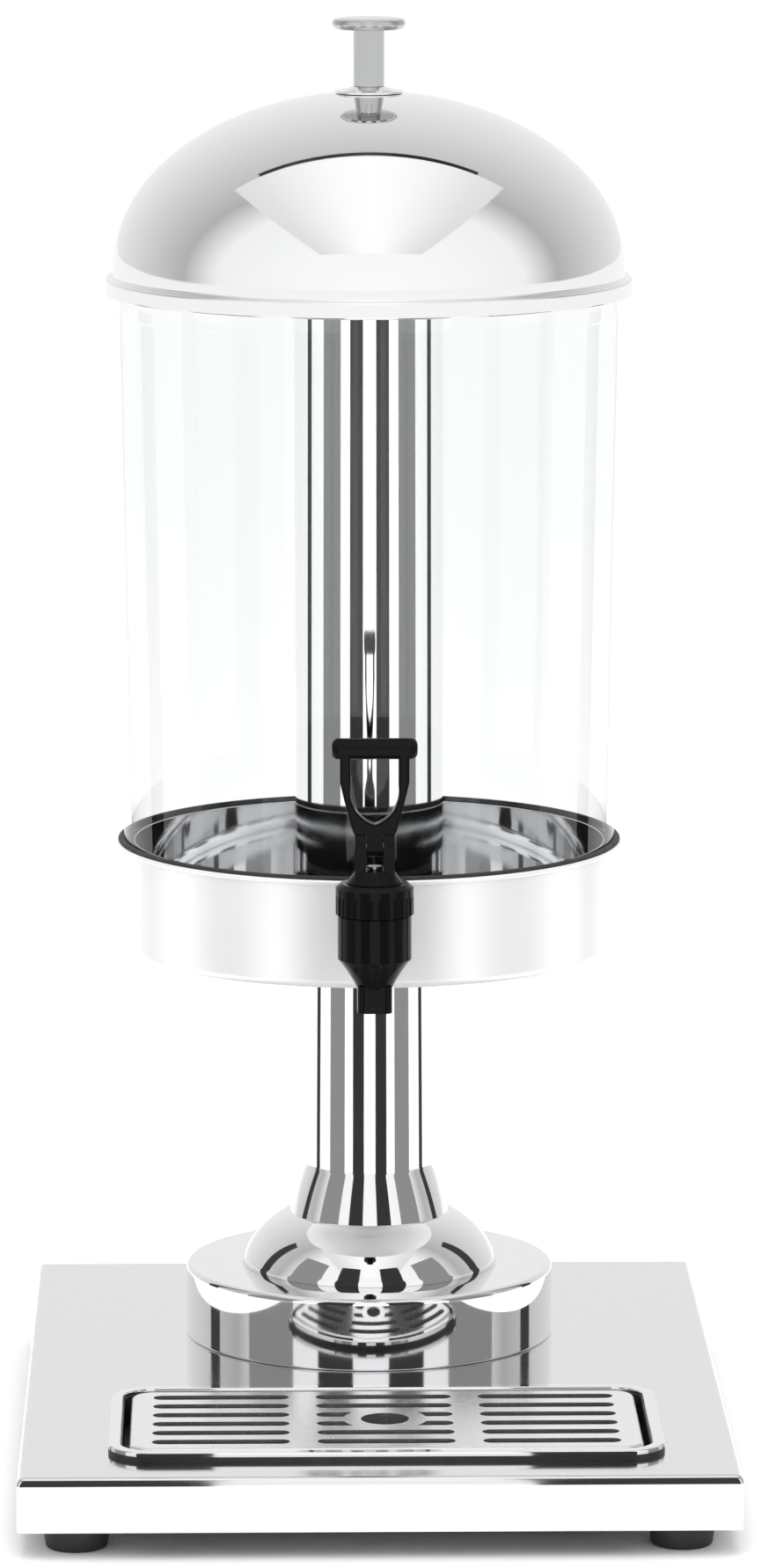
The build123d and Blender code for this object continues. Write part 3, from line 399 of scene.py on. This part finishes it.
# ---- pan ----
# A mirror-bright pan lines the cup and closes the tank from below.
# A spreader plate under it takes the load, and the seat ring round it carries the tank's foot.
pan_r = 89.8
pan_wall = 0.6
_, pan_low, pan_high = size("tank_pan")
pan = turned("pan", rounded([
    (cup_bore_r, pan_low, 0), (pan_r, pan_low, 5), (pan_r, pan_high, 0.3), (pan_r - pan_wall, pan_high, 0.3),
    (pan_r - pan_wall, pan_low + pan_wall, 4.4), (cup_bore_r, pan_low + pan_wall, 0), (cup_bore_r, pan_low, 0),
]), 192)
fit(pan, "tank_pan", "stand", mirror_steel)
finish(mirror_steel, "seat_ring")
finish(plain_steel, "pan_spreader")

# ---- gasket ----
# A black rubber ring, moulded with a channel that grips the foot of the tank.
# Its lip laps over the cup's rolled edge and keeps the joint tight.
gasket_web = 1.2
_, gasket_low, _ = size("tank_gasket")
lip_top = cup_high + 1.2
gasket = turned("gasket", rounded([
    (90.22, gasket_low + gasket_web, 0), (90.22, cup_high, 0.1), (89.86, cup_high, 0.1),
    (89.86, gasket_low, 0), (94.0, gasket_low, 0.8), (94.0, cup_high + 0.1, 0),
    (cup_r, cup_high + 0.1, 0), (cup_r, cup_high + 0.6, 0.3), (94.6, lip_top, 0.5), (93.5, lip_top, 0.2),
    (93.4, gasket_low + gasket_web, 0), (90.22, gasket_low + gasket_web, 0),
]), 192)
fit(gasket, "tank_gasket", "stand", black_rubber)


# ---- tank ----
# The tank is a clear moulded wall, a little wider at its mouth, with a thicker band where the lid sits.
# It is press-fitted into the gasket and has no bottom of its own.
def clear_plastic(name):
    """Clear wall: see-through head on, and more of a mirror the more it is seen along its surface."""
    material = bpy.data.materials.new(name)
    material.use_nodes = True
    nodes = material.node_tree.nodes
    links = material.node_tree.links
    gloss = nodes["Principled BSDF"]
    gloss.inputs["Base Color"].default_value = (1, 1, 1, 1)
    gloss.inputs["Metallic"].default_value = 1.0
    gloss.inputs["Roughness"].default_value = 0.03
    through = nodes.new("ShaderNodeBsdfTransparent")
    through.inputs["Color"].default_value = (0.985, 0.988, 0.99, 1)
    fresnel = nodes.new("ShaderNodeFresnel")
    fresnel.inputs["IOR"].default_value = 1.45
    side = nodes.new("ShaderNodeNewGeometry")
    outside = nodes.new("ShaderNodeMath")
    outside.operation = "SUBTRACT"
    outside.use_clamp = True
    mix = nodes.new("ShaderNodeMixShader")
    links.new(fresnel.outputs["Fac"], outside.inputs[0])
    links.new(side.outputs["Backfacing"], outside.inputs[1])
    links.new(outside.outputs["Value"], mix.inputs["Fac"])
    links.new(through.outputs["BSDF"], mix.inputs[1])
    links.new(gloss.outputs["BSDF"], mix.inputs[2])
    links.new(mix.outputs["Shader"], nodes["Material Output"].inputs["Surface"])
    return material


clear_wall = clear_plastic("clear_wall")
tank_r, tank_foot, tank_top = size("tank")
tank_foot_r = 93.3
tank_wall = 3.0
band_wall = 4.2
band_r = tank_r - 0.7
band_low = tank_top - 12
tank = turned("tank_wall", rounded([
    (tank_foot_r - tank_wall, tank_foot, 0), (tank_foot_r, tank_foot, 0.4), (band_r, band_low, 0.6),
    (tank_r, band_low + 0.5, 0.6), (tank_r, tank_top, 1.0), (tank_r - band_wall, tank_top, 1.0),
    (tank_r - band_wall, band_low, 0.6), (band_r - tank_wall, band_low - 0.6, 0.6),
    (tank_foot_r - tank_wall, tank_foot, 0),
]), 192)
fit(tank, "tank", "stand", clear_wall)

# ---- hub ----
# A turned steel hub is bolted to the middle of the pan over a rubber seal.
# Its spigot keeps the ice tube upright.
finish(mirror_steel, "hub")
finish(black_rubber, "hub_seal")

# ---- ice tube ----
# A polished steel tube full of ice chills the drink from the middle of the tank.
# It lifts out; its mouth is rolled and its foot is closed with a black cap.
tube_r = 28.1
tube_wall = 0.8
_, tube_foot, tube_top = size("ice_tube")
mouth = [
    (tube_r + tube_wall * cos(radians(a)), tube_top - tube_wall + tube_wall * sin(radians(a)))
    for a in range(-60, 181, 20)
]
tube_outside = [(tube_r - tube_wall, tube_foot), (tube_r, tube_foot), (tube_r, tube_top - 2.6)]
tube_inside = [(tube_r - tube_wall, tube_top - 1.6), (tube_r - tube_wall, tube_foot)]
tube = turned("ice_tube_wall", tube_outside + mouth + tube_inside)
fit(tube, "ice_tube", "ice_tube", mirror_steel)
finish(matte_black_and_painted_shade, "ice_tube_cap")

# ---- lid ----
# The lid is a polished dome, spun from one sheet, with a stepped rim that drops over the tank's band.
# It lifts straight off by its knob.
rim_r, rim_low, dome_z = size("lid_dome")
dome_rise = 66.5
lid_skin = 0.9
spring = dome_z - dome_rise
dome_r = rim_r - 2.8
rim_high = rim_low + 6.4
dome_outside = [
    (dome_r * cos(radians(a)), spring + dome_rise * sin(radians(a))) for a in range(0, 88, 3)
]
dome_inside = [
    (r - lid_skin * r / dome_r, z - lid_skin * (z - spring) / dome_rise) for r, z in reversed(dome_outside)
]
knob_hole = [(3, dome_z - 0.02), (3, dome_z - lid_skin)]
rim_outside = rounded([
    (rim_r - lid_skin, rim_low, 0), (rim_r, rim_low, 0.4), (rim_r, rim_high, 1.2),
    (dome_r, rim_high, 1.0), (dome_r, spring - 0.3, 0),
])
rim_inside = rounded([
    (dome_r - lid_skin, spring - 0.3, 0), (dome_r - lid_skin, rim_high - lid_skin, 0.5),
    (rim_r - lid_skin, rim_high - lid_skin, 0.5), (rim_r - lid_skin, rim_low, 0),
])
lid = turned("dome_lid", rim_outside + dome_outside + knob_hole + dome_inside + rim_inside, 224)
fit(lid, "lid_dome", "lid", mirror_steel)

# ---- knob ----
# A solid turned disc on a short shank, with a flange against the dome.
# One screw and its washer hold it from inside the lid; its steel is a shade darker than the dome's.
knob_steel = steel("knob_steel", (0.50, 0.505, 0.51), 0.06, 0.02, (30, 30, 30))
screw_hole_r = 2.6
knob_r, knob_low, knob_high = size("knob_disc")
knob = turned("knob", rounded([
    (screw_hole_r, knob_low, 0), (knob_r - 1.4, knob_low, 0.5), (knob_r, knob_low + 1.6, 1.2),
    (knob_r - 0.6, knob_high - 0.6, 1.0), (knob_r - 4, knob_high - 0.1, 6),
    (2, knob_high, 0), (0.01, knob_high, 0),
]), 96)
fit(knob, "knob_disc", "lid", knob_steel)
shank_r, shank_low, shank_high = size("knob_stem")
shank = turned("knob_shank", rounded([
    (screw_hole_r, shank_low, 0), (shank_r, shank_low, 0.3), (shank_r, shank_high, 0.3),
    (screw_hole_r, shank_high, 0), (screw_hole_r, shank_low, 0),
]), 96)
fit(shank, "knob_stem", "lid", knob_steel)
finish(mirror_steel, "knob_flange")
finish(plain_steel, "knob_washer", "knob_screw")

# ---- tap ----
# A black moulded drip tap: a body with a square spout, a ribbed nut and the bonnet that it holds down.
# Its shank passes through the cup's wall and is clamped there between two rubber washers.
gloss_black = soft_black("gloss_black", (0.005, 0.005, 0.0055), 0.11, 0.03)
gloss_black.node_tree.nodes["Principled BSDF"].inputs["Specular IOR Level"].default_value = 0.08
finish(gloss_black, "tap_body", "tap_bonnet_nut", "tap_bonnet")
finish(matte_black_and_painted_shade, "tap_spacer", "tap_shank_nut")
finish(black_rubber, "tap_outer_washer", "tap_inner_washer")

# ---- tap lever and valve ----
# The loop lever swings on a steel pin across the bonnet, and pulls the valve stem up against its spring.
# A rubber seat cup on the stem's foot shuts the tap when the lever is let go.
finish(gloss_black, "tap_lever")
finish(plain_steel, "lever_pin", "valve_stem", "valve_spring")
finish(black_rubber, "seat_cup")

# ---- drip tray ----
# A shallow tray sits loose on the deck under the spout, and lifts off to be emptied; it is coloured black as
# painted shade, for the dark under the grille and on its front face.
# A polished steel trim is pressed over its rim, and the slotted satin grille drops inside that.
satin_steel = steel("satin_steel", (0.86, 0.865, 0.87), 0.26, 0.02, (300, 300, 60))
# Painted shade: the tray takes the black material, so that its well under the grille and its front face read
# dark.
finish(matte_black_and_painted_shade, "drip_tray")
finish(mirror_steel, "tray_trim")
finish(satin_steel, "drip_grille")
